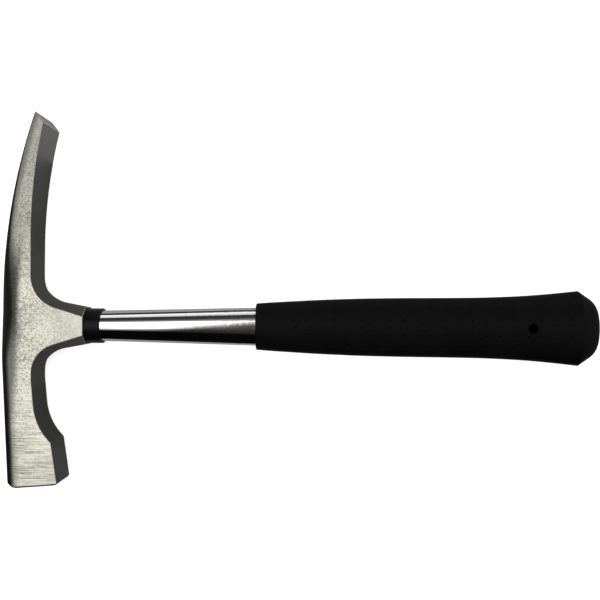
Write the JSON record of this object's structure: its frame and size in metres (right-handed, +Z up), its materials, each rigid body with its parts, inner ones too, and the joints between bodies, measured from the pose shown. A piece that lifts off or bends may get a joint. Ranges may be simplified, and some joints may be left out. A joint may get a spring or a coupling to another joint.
{
  "type": "brick hammer",
  "caption": "Bricklayer's hammer: forged head with a square poll and a curved chisel blade, chromed tubular shaft, black dimpled rubber grip.",
  "frame": {"origin": "middle of the bounding box's base, with the hammer lying on one cheek", "axes": "+X along the handle to the butt, +Y along the head to the blade's edge, +Z up through the cheeks"},
  "size_m": [0.2842, 0.1768, 0.031],
  "materials": {
    "forged_steel": "ground cheeks, dark lacquered edges",
    "chromed_tube": "polished chrome plate",
    "collar_black": "matt black",
    "grip_rubber": "matt black, dimpled",
    "core_wood": "end grain",
    "wedge_steel": "plain steel",
    "plug_plastic": "moulded"
  },
  "bodies": {
    "root": {"hammer_head": "forged_steel", "shaft_tube": "chromed_tube", "neck_collar": "collar_black", "grip_sleeve": "grip_rubber", "core_plug": "core_wood", "eye_wedge": "wedge_steel", "tube_end_plug": "plug_plastic"}
  },
  "joints": []
}
